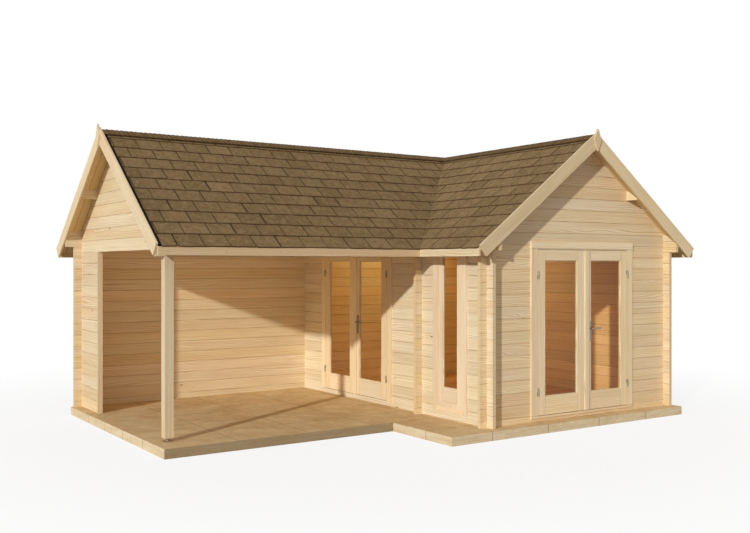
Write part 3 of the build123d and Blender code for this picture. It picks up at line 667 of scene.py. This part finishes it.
def meshPiece(name, points, faces, material, body="house", smooth=False, values=None):
    mesh = bpy.data.meshes.new(name)
    mesh.vertices.add(len(points))
    mesh.vertices.foreach_set("co", np.ascontiguousarray(points, dtype=np.float32).ravel())
    mesh.loops.add(faces.size)
    mesh.loops.foreach_set("vertex_index", np.ascontiguousarray(faces, dtype=np.int32).ravel())
    mesh.polygons.add(len(faces))
    mesh.polygons.foreach_set("loop_start", np.arange(len(faces), dtype=np.int32) * faces.shape[1])
    mesh.update(calc_edges=True)
    for label, numbers in (values or {}).items():
        layer = mesh.attributes.new(label, "FLOAT", "POINT")
        layer.data.foreach_set("value", np.ascontiguousarray(numbers, dtype=np.float32))
    work = bmesh.new()
    work.from_mesh(mesh)
    bmesh.ops.dissolve_degenerate(work, dist=1e-5, edges=work.edges)
    bmesh.ops.recalc_face_normals(work, faces=work.faces)
    work.to_mesh(mesh)
    work.free()
    mesh.validate()
    mesh.materials.append(material)
    mesh.polygons.foreach_set("use_smooth", np.full(len(mesh.polygons), smooth))
    made = addObject(name, mesh)
    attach(made, body)


def perShape(numbers):
    return numbers[:, None, None]


# the faces of one shape, repeated for shapes whose points follow each other
def repeatFaces(one, count, pointsEach):
    return (one[None] + perShape(np.arange(count) * pointsEach)).reshape(-1, 4)


def quads(*corners):
    return np.stack(corners, -1).reshape(-1, 4)


# closed slabs from two matching grids: quads of the upper grid, the lower grid and the four borders
def slabFaces(rows, columns):
    upper = np.arange(rows * columns).reshape(rows, columns)
    lower = upper + rows * columns

    def border(a, b):
        return quads(a[:-1], b[:-1], b[1:], a[1:])

    return np.concatenate([
        quads(upper[:-1, :-1], upper[:-1, 1:], upper[1:, 1:], upper[1:, :-1]),
        quads(lower[:-1, :-1], lower[1:, :-1], lower[1:, 1:], lower[:-1, 1:]),
        border(upper[0], lower[0]), border(lower[-1], upper[-1]),
        border(lower[:, 0], upper[:, 0]), border(upper[:, -1], lower[:, -1])])


# many slabs as one piece; each value gives an attribute's numbers on the upper and the lower grid
def slabsPiece(name, upper, lower, material, values=None):
    count, rows, columns = upper.shape[:3]

    def both(pair, *tail):
        return np.concatenate([grid.reshape(count, -1, *tail) for grid in pair], axis=1)

    points = both((upper, lower), 3)
    faces = repeatFaces(slabFaces(rows, columns), count, points.shape[1])
    layers = {label: both(pair).ravel() for label, pair in (values or {}).items()}
    meshPiece(name, points.reshape(-1, 3), faces, material, values=layers)


# shingle finish: every tab has its own tone, granules over it, and painted shade along its sides and lower edge
shingle = {
    "exposure": 0.2075,
    "tab": 0.287,
    "slit": 0.009,
    "lap": 0.035,
    "butt": 0.011,
    "tail": 0.002,
    "seat": 0.0003,
    "eaveLip": 0.004,
    "ridgeStop": 0.05,
    "span": 6.6,
    "narrowest": 0.012,
    "shift": 0.003,
    "ragged": (0.0011, 0.0018),    # along one tab's lower edge, and from tab to tab
    "curl": (-0.001, 0.0025),
    "wave": (0.0006, 23.0),
    "toneSpread": 0.2,
    "downCuts": (0.0, 0.35, 0.7, 0.93, 1.0),
    "alongCuts": (0.0, 0.035, 0.25, 0.5, 0.75, 0.965, 1.0),
    "body": srgb(142, 119, 84),
    "light": srgb(170, 146, 108),
    "dark": srgb(108, 87, 58),
    # edge is the colour of the painted shade along the tabs' sides and lower edges
    "edge": srgb(80, 58, 35),
    "bodyShare": 0.45,
    "rim": (0.5, 0.75),            # painted shade: how dark the tab's sides and its lower edge are
    "relief": 0.0012,
}
nearEnd = 0.01    # a share this close to 0 or 1 is the end itself


def makeShingleMaterial():
    made, tree, shader = newMaterial("shingleGranules", 0.9, 0.12)
    spot = readSpot(tree)
    tone = addNode(tree, "ShaderNodeAttribute", attribute_name="tabTone").outputs["Fac"]
    # edge reads the painted shade along the tabs' sides and lower edges
    edge = addNode(tree, "ShaderNodeAttribute", attribute_name="paintedEdgeShade").outputs["Fac"]
    grit = noise(tree, spot, 420.0, 2.0, 0.75)
    mottle = noise(tree, spot, 48.0, 3.0, 0.65)
    cloud = noise(tree, spot, 15.0, 4.0, 0.65)
    weather = noise(tree, spot, 1.3, 3.0, 0.5)
    base = blendColour(tree, tone, shingle["dark"], shingle["light"])
    base = blendColour(tree, shingle["bodyShare"], base, shingle["body"])
    layers = ((mottle, "dark", 0.5, 0.3, 0.0, 0.7), (mottle, "light", 0.5, 0.7, 0.0, 0.75),
              (cloud, "light", 0.5, 0.7, 0.0, 0.6), (cloud, "dark", 0.5, 0.3, 0.0, 0.55),
              (weather, "dark", 0.4, 0.7, 0.0, 0.2), (grit, "dark", 0.38, 0.7, 0.45, 0.0),
              (edge, "edge", 0.0, 1.0, 0.0, 0.92))
    for value, colour, *span in layers:
        base = tint(tree, base, shingle[colour], value, *span)
    tree.links.new(base, shader.inputs["Base Color"])
    addBump(tree, shader, calc(tree, "MULTIPLY_ADD", cloud, 0.6, grit), shingle["relief"])
    tree.links.new(remap(tree, grit, 0.3, 0.7, 0.82, 0.97), shader.inputs["Roughness"])
    return made


shingleCover = makeShingleMaterial()


# a slope: distance down it and distance along the ridge give a point, lifted by a height over the boards
def slopePoint(slope, along, down, lift):
    flat = down * pitchCos + lift * pitchSin
    height = ridgeZ - down * pitchSin + lift * pitchCos
    if slope["ridge"] == "x":
        return np.stack([along, ridgeY + slope["side"] * flat, height], -1)
    return np.stack([ridgeX + slope["side"] * flat, along, height], -1)


def edgeAt(edge, down):
    start, lean = edge
    return start + lean * down * pitchCos


def slabTones(count, spread, shape):
    return np.broadcast_to(perShape(np.clip(rng.normal(0.5, spread, count), 0, 1)), shape)


# tabs of one slope: a grid of rows and columns, every second row half a tab on, pinched at valley and verge;
# v runs from 0 at a tab's head to 1 at its lower edge, u from 0 to 1 along it
def layShingles(name, slope):
    rows = int(math.ceil((slopeLength - shingle["ridgeStop"]) / shingle["exposure"]))
    columns = int(shingle["span"] / shingle["tab"])
    row, column = [a.ravel() for a in np.meshgrid(np.arange(rows), np.arange(-columns, columns), indexing="ij")]
    count = len(row)
    start = (column + 0.5 * (row % 2)) * shingle["tab"] + rng.normal(0.0, shingle["shift"], count)
    butt = slopeLength - row * shingle["exposure"] + np.where(row == 0, shingle["eaveLip"], 0.0)
    head = np.maximum(slopeLength - (row + 1) * shingle["exposure"] - shingle["lap"], 0.0)
    v = np.array(shingle["downCuts"])[None, :, None]
    u = np.array(shingle["alongCuts"])[None, None, :]
    ragged = rng.normal(0.0, shingle["ragged"][0], (count, 1, u.size))
    ragged = ragged + rng.normal(0.0, shingle["ragged"][1], (count, 1, 1))
    down = perShape(head) + v * perShape(butt - head) + 0.0 * u + ragged * v ** 4
    along = perShape(start) + shingle["slit"] / 2 + u * (shingle["tab"] - shingle["slit"]) + 0.0 * v
    along = np.clip(along, edgeAt(slope["low"], down), edgeAt(slope["high"], down))
    # the tab rises from its tail to its thick lower edge, curls there a little and waves along the row
    lift = shingle["tail"] + (shingle["butt"] - shingle["tail"]) * v ** 1.5
    lift = lift + perShape(rng.uniform(*shingle["curl"], count)) * v ** 2
    lift = lift + shingle["wave"][0] * np.sin(along * shingle["wave"][1] + perShape(row)) * v
    kept = (along[:, :, -1] - along[:, :, 0]).max(axis=1) > shingle["narrowest"]
    tone = slabTones(count, shingle["toneSpread"], along.shape)[kept]
    # painted shade: the tab's sides and lower edge, and its whole underside, take the dark edge colour
    rim = np.where((u < nearEnd) | (u > 1.0 - nearEnd), shingle["rim"][0], 0.0)
    edgeShade = np.maximum(rim, np.where(v > 1.0 - nearEnd, shingle["rim"][1], 0.0)) + np.zeros((kept.sum(), 1, 1))
    upper = slopePoint(slope, along, down, lift)[kept]
    lower = slopePoint(slope, along, down, np.full_like(lift, shingle["seat"]))[kept]
    slabsPiece(name, upper, lower, shingleCover, {"tabTone": (tone, tone), "paintedEdgeShade": (edgeShade, np.ones_like(edgeShade))})


valleyGap = 0.004
stripWidth = 0.058    # from the barge's outer face to the first shingle
frontInner, backInner = frontVerge + roof["trim"], backVerge - roof["trim"]
# low and high are the slope's two ends along the ridge, each with its lean down the slope
vergeLow, valleyHigh = (leftVerge + stripWidth, 0.0), (ridgeX - valleyGap, -1.0)
slopes = {
    "shinglesMainFront": {"ridge": "x", "side": -1, "low": vergeLow, "high": valleyHigh},
    "shinglesMainBack": {"ridge": "x", "side": 1, "low": vergeLow, "high": valleyHigh},
    "shinglesRoomLeft": {"ridge": "y", "side": -1, "low": (frontInner, 0.0), "high": (ridgeY - valleyGap, -1.0)},
    "shinglesRoomRear": {"ridge": "y", "side": -1, "low": (ridgeY + valleyGap, 1.0), "high": (backInner, 0.0)},
    "shinglesRoomRight": {"ridge": "y", "side": 1, "low": (frontInner, 0.0), "high": (backInner, 0.0)},
}
for name, slope in slopes.items():
    layShingles(name, slope)
print("shingles laid on", len(slopes), "slopes")


# ridge caps: a bent strip over the ridge, lifted towards its free end so that the row steps like a saw
cap = {
    "exposure": 0.056,
    "length": 0.12,
    "reach": 0.135,
    "round": 0.03,
    "crown": 0.55,
    "lift": 0.012,
    "step": 0.015,
    "thick": 0.006,
    "shift": 0.0015,
    "loose": 0.002,
    "toneSpread": 0.22,
    # painted shade on each cap's free end and sides
    "rim": 0.62,
    "cuts": (3, 13),
}


# t runs from 0 at a cap's free end to 1, c from -1 to 1 across the ridge
def layRidge(name, ridge, first, last):
    count = int(abs(last - first) / cap["exposure"])
    pitchLength = (last - first) / count
    t = np.linspace(0.0, 1.0, cap["cuts"][0])[None, :, None]
    c = np.linspace(-1.0, 1.0, cap["cuts"][1])[None, None, :]
    along = first + perShape(np.arange(count)) * pitchLength + t * np.sign(pitchLength) * cap["length"] + 0.0 * c
    along = np.clip(along, min(first, last), max(first, last))
    side = c * cap["reach"] + 0.0 * t + rng.normal(0.0, cap["shift"], (count, 1, 1))
    # the bend: distance from the ridge, rounded near the top
    soft = np.sqrt(side ** 2 + cap["round"] ** 2) - cap["round"] * cap["crown"]
    lift = cap["lift"] + cap["step"] * (1.0 - t) + perShape(rng.uniform(0.0, cap["loose"], count)) + 0.0 * side

    def place(lifted):
        flat = side * pitchCos + lifted * pitchSin * np.tanh(side * 40.0)
        height = ridgeZ - soft * pitchSin + lifted * pitchCos
        if ridge == "x":
            return np.stack([along, ridgeY + flat, height], -1)
        return np.stack([ridgeX + flat, along, height], -1)

    tone = slabTones(count, cap["toneSpread"], along.shape)
    # painted shade along each cap's free end and its sides
    edgeShade = np.where((t < nearEnd) | (np.abs(c) > 1.0 - nearEnd), cap["rim"], 0.0) + np.zeros_like(along)
    slabsPiece(name, place(lift), place(lift - cap["thick"]), shingleCover,
               {"tabTone": (tone, tone), "paintedEdgeShade": (edgeShade, edgeShade)})


layRidge("ridgeCapsMain", "x", leftVerge + roof["trim"], ridgeX)
layRidge("ridgeCapsRoom", "y", frontInner, backInner)
print("ridge caps laid")


# black edge bar along the open gable: a low bar with a slightly rounded top between barge board and shingles
darkLayer = {
    "thick": 0.013,
    "round": 0.12,
    "seat": 0.0002,
    "cuts": (24, 5),
    "colour": srgb(22, 21, 21),
    "grit": srgb(38, 36, 34),
    "relief": 0.0008,
}


def makeBlackMaterial():
    made, tree, shader = newMaterial("plainBlack", 0.9, 0.06)
    grit = noise(tree, readSpot(tree), 300.0, 2.0, 0.7)
    tree.links.new(blendColour(tree, grit, darkLayer["colour"], darkLayer["grit"]), shader.inputs["Base Color"])
    addBump(tree, shader, grit, darkLayer["relief"])
    return made


blackCover = makeBlackMaterial()
for name, side in (("edgeStripFront", -1), ("edgeStripBack", 1)):
    across = np.linspace(0.0, 1.0, darkLayer["cuts"][1])[None, None, :]
    down = np.linspace(0.0, slopeLength, darkLayer["cuts"][0])[None, :, None] + 0.0 * across
    along = mainLow[0] + across * (stripWidth - roof["trim"]) + 0.0 * down
    crown = darkLayer["thick"] * (1.0 - darkLayer["round"] + darkLayer["round"] * np.sin(across * math.pi)) + 0.0 * down
    slope = {"ridge": "x", "side": side}
    lower = slopePoint(slope, along, down, np.full_like(crown, darkLayer["seat"]))
    slabsPiece(name, slopePoint(slope, along, down, crown), lower, blackCover)
print("edge strips laid")


# glazing beads: a quarter-round profile carried round the rectangle of a pane, mitred at its corners
bead = {"width": 0.011, "depth": 0.011, "steps": 5}


def addBeads(name, body, wallAxis, low, high):
    turn = np.linspace(0.0, math.pi / 2, bead["steps"])
    inward = np.concatenate([[0.0, 0.0], bead["width"] * np.sin(turn[1:])])
    outward = np.concatenate([[0.0, bead["depth"]], bead["depth"] * np.cos(turn[1:])])
    signs = np.array([[-1, -1], [1, -1], [1, 1], [-1, 1]], dtype=float)
    centre = [(low[wallAxis] + high[wallAxis]) / 2, (low[2] + high[2]) / 2]
    half = [(high[wallAxis] - low[wallAxis]) / 2, (high[2] - low[2]) / 2]
    beside, up = [centre[k] + signs[:, k:k + 1] * (half[k] - inward[None]) for k in (0, 1)]
    rings = []
    for foot, way in ((low[1 - wallAxis], -1), (high[1 - wallAxis], 1)):
        axes = [None, None, up]
        axes[wallAxis], axes[1 - wallAxis] = beside, foot + way * outward[None] + 0.0 * beside
        rings.append(np.stack(axes, -1).reshape(-1, 3))
    ring = np.arange(beside.size).reshape(beside.shape)
    after = np.roll(ring, -1, axis=0)
    one = quads(ring, after, np.roll(after, -1, axis=1), np.roll(ring, -1, axis=1))
    faces = repeatFaces(one, len(rings), beside.size)
    meshPiece(name, np.concatenate(rings), faces, uprightWood, body)


for wall, axis in doorWalls:
    for hand in ("left", "right"):
        leaf = wall + "_leaf_" + hand
        addBeads(leaf + "_beads", leaf, axis, *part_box(leaf + "_glass"))
addBeads("window_beads", "house", 1, *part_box("window_glass"))
print("glazing beads set")


# screw heads: a low dome turned about the face's normal, its rim a touch under the surface
screw = {
    "radius": 0.0052,
    "rise": 0.0016,
    "sink": 0.0006,
    "around": 12,
    "reach": (0.09, 0.78, 0.82, 1.46, 1.54),    # from the ridge along a barge board, measured level
    "drop": 0.045,
    "fromEnd": 0.1,
    "endGap": 0.05,
    "step": 0.62,
}
dome = {"reach": (1.0, 1.0, 0.86, 0.5, 0.0), "rise": (0.45, 0.8, 1.0, 1.0)}


def turnedStuds(name, places, normals, radius, rise, material, body="house"):
    places, normals = np.array(places, dtype=float), np.array(normals, dtype=float)
    reach = radius * np.array(dome["reach"])
    height = np.concatenate([[-screw["sink"]], rise * np.array(dome["rise"])])
    angle = np.linspace(0.0, 2.0 * math.pi, screw["around"], endpoint=False)[None, None, :, None]
    helper = np.where(np.abs(normals[:, 2:]) > 0.9, [[1.0, 0.0, 0.0]], [[0.0, 0.0, 1.0]])
    side = np.cross(normals, helper)
    side = side / np.linalg.norm(side, axis=1, keepdims=True)
    other = np.cross(normals, side)
    circle = np.cos(angle) * side[:, None, None] + np.sin(angle) * other[:, None, None]
    points = places[:, None, None] + circle * reach[None, :, None, None]
    points = points + normals[:, None, None] * height[None, :, None, None]
    count, rings, around = points.shape[:3]
    grid = np.arange(rings * around).reshape(rings, around)
    after = np.roll(grid, -1, axis=1)
    low = np.arange(around // 2 - 1)
    rim = grid[0]
    one = np.concatenate([quads(grid[:-1], after[:-1], after[1:], grid[1:]),
                          quads(rim[low], rim[low + 1], rim[around - 2 - low], rim[around - 1 - low])])
    faces = repeatFaces(one, count, rings * around)
    meshPiece(name, points.reshape(-1, 3), faces, material, body, smooth=True)


def placeScrews():
    reach = np.array(screw["reach"])
    places, normals = [], []

    def addRow(axis, spots, plane, level, out):
        place, normal = np.zeros((2, len(spots), 3))
        place[:, axis], place[:, 1 - axis], place[:, 2] = spots, plane, level
        normal[:, 1 - axis] = out
        places.append(place)
        normals.append(normal)

    for hand in (-1.0, 1.0):
        flat, level = hand * reach, ridgeZ - reach * math.tan(roof["pitch"]) - screw["drop"]
        addRow(0, ridgeX + flat, frontVerge, level, -1.0)
        addRow(0, ridgeX + flat, backVerge, level, 1.0)
        addRow(1, ridgeY + flat, leftVerge, level, -1.0)
    # on the eave boards, at even steps; the room's left one ends at the terrace's roof
    for node, axis in (("main_fascia", 0), ("wing_fascia", 1)):
        low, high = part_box(node)
        spots = np.arange(low[axis] + screw["fromEnd"], high[axis] - screw["endGap"], screw["step"])
        for plane, out in ((low[1 - axis], -1.0), (high[1 - axis], 1.0)):
            endsEarly = node == "wing_fascia" and out < 0
            kept = spots[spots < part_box("main_fascia")[0][1] - screw["endGap"]] if endsEarly else spots
            addRow(axis, kept, plane, (low[2] + high[2]) / 2, out)
    turnedStuds("trimScrews", np.concatenate(places), np.concatenate(normals), screw["radius"], screw["rise"],
                hingeMetal)


placeScrews()

# on the handle plate: two screws, and a key cylinder under the lever; all sizes from the plate's middle
plate = {
    "half": 0.017,
    "face": 0.048,
    "drop": 0.732,
    "screwUp": 0.108,
    "screwRadius": 0.0042,
    "screwRise": 0.0014,
    "keyDown": 0.062,
    "keyRadius": 0.0086,
    "keyRise": 0.0034,
    "slotRadius": 0.0021,
    "slotRise": 0.0004,
    "slotSteps": (-0.0034, 0.0, 0.0034),
}


def dressPlate(wall, axis):
    low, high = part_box(wall + "_leaf_right_fittings")
    middle, out, up = np.zeros(3), np.zeros(3), np.array([0.0, 0.0, 1.0])
    middle[axis] = low[0] + plate["half"] if axis == 0 else high[1] - plate["half"]
    middle[1 - axis] = low[1 - axis] + plate["face"]
    middle[2] = high[2] - plate["drop"]
    out[1 - axis] = -1.0
    body = wall + "_leaf_right"
    screws = [middle + up * plate["screwUp"], middle - up * plate["screwUp"]]
    turnedStuds(wall + "PlateScrews", screws, [out, out], plate["screwRadius"], plate["screwRise"], steel, body)
    key = middle - up * plate["keyDown"]
    turnedStuds(wall + "KeyCylinder", [key], [out], plate["keyRadius"], plate["keyRise"], steel, body)
    # the key slot is three black discs on the cylinder: painted shade for the keyway
    slots = [key + out * plate["keyRise"] + up * step for step in plate["slotSteps"]]
    turnedStuds(wall + "KeySlot", slots, [out] * 3, plate["slotRadius"], plate["slotRise"], blackCover, body)


for wall, axis in doorWalls:
    dressPlate(wall, axis)
print("screws set")


# floor, background and light: the floor turns to plain white away from the house and keeps the shadow near it
stage = {
    "floorReach": 60.0,
    "floor": (0.9, 0.9, 0.9, 1.0),
    "floorBounce": (0.36, 0.35, 0.33, 1.0),    # what the floor throws back on to the house
    "shadow": (0.84, 1.0),                     # how much plain white the camera sees near the house and far off
    "fade": (4.0, 8.0),
    "white": (1.0, 1.0, 1.0, 1.0),
    "ambient": 0.43,
    "ambientColour": (1.0, 0.88, 0.815, 1.0),
    "sun": 2.3,
    "sunColour": (0.975, 1.0, 0.97),
    "sunSoft": math.radians(1.6),
    "sunPlace": (0.0, 0.0, 8.0),
    "sunWay": (1.8, 1.0, -0.65),
}
# soft lamps, unseen themselves: under the room's ceiling, and under the terrace roof towards the back wall
roomFill = {"power": 22.0, "colour": (1.0, 0.86, 0.46), "way": (0.0, 0.0, -1.0), "size": (2.2, 2.4),
            "height": 2.3, "back": 0.8}
terraceFill = {"power": 3.6, "colour": (1.0, 0.74, 0.46), "way": (0.15, 1.0, 0.1), "size": (2.4, 1.2), "height": 1.5}


def makeFloorStage():
    mesh = bpy.data.meshes.new("studioFloor")
    reach = stage["floorReach"]
    corners = [(-reach, -reach, 0), (reach, -reach, 0), (reach, reach, 0), (-reach, reach, 0)]
    mesh.from_pydata(corners, [], [(0, 1, 2, 3)])
    floor = addObject("studioFloor", mesh)
    made, tree, shader = newMaterial("studioFloor", 0.9)
    place = readPlace(tree)
    white = remap(tree, distance(tree, place[0], place[1]), *stage["fade"], *stage["shadow"])
    seen = seenByEye(tree)
    tree.links.new(blendColour(tree, seen, stage["floorBounce"], stage["floor"]), shader.inputs["Base Color"])
    mixSurface(tree, calc(tree, "MULTIPLY", seen, white), shader, addNode(tree, "ShaderNodeEmission"))
    mesh.materials.append(made)


def makeLamp(name, kind, energy, colour, place, way):
    lamp = bpy.data.lights.new(name, kind)
    lamp.energy = energy
    lamp.color = colour
    made = addObject(name, lamp)
    made.location = place
    made.rotation_euler = Vector(way).to_track_quat("-Z", "Y").to_euler()
    return made, lamp


def makeFill(name, look, x, y):
    made, lamp = makeLamp(name, "AREA", look["power"], look["colour"], (x, y, look["height"]), look["way"])
    lamp.shape = "RECTANGLE"
    lamp.size, lamp.size_y = look["size"]
    made.visible_camera = made.visible_glossy = made.visible_transmission = False


def buildStage():
    makeFloorStage()
    world = bpy.data.worlds.new("studioWorld")
    bpy.context.scene.world = world
    world.use_nodes = True
    tree = world.node_tree
    seen = seenByEye(tree)
    feed(tree, tree.nodes["Background"], Color=blendColour(tree, seen, stage["ambientColour"], stage["white"]),
         Strength=blendValue(tree, seen, stage["ambient"], 1.0))
    lamp = makeLamp("keyLight", "SUN", stage["sun"], stage["sunColour"], stage["sunPlace"], stage["sunWay"])[1]
    lamp.angle = stage["sunSoft"]
    low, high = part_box("room_floor")
    makeFill("roomFill", roomFill, (low[0] + high[0]) / 2, (low[1] + high[1]) / 2 + roomFill["back"])
    post, wall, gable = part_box("corner_post")[0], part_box("back_wall")[0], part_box("terrace_gable")[0]
    makeFill("terraceFill", terraceFill, (post[0] + gable[0]) / 2, (post[1] + wall[1]) / 2)


buildStage()

view = {"place": (-6.5599, -9.7827, 1.9), "turn": -33.9488, "lens": 43.837, "sensor": 36.0, "shift": -1.43 / 750}
camera = bpy.data.cameras.new("photoCamera")
camera.sensor_fit = "HORIZONTAL"
camera.sensor_width = view["sensor"]
camera.lens = view["lens"]
camera.shift_y = view["shift"]
eye = addObject("photoCamera", camera)
eye.location = view["place"]
eye.rotation_euler = (math.radians(90.0), 0.0, math.radians(view["turn"]))
bpy.context.scene.camera = eye
bpy.context.scene.view_settings.view_transform = "Standard"
print("camera and light ready")
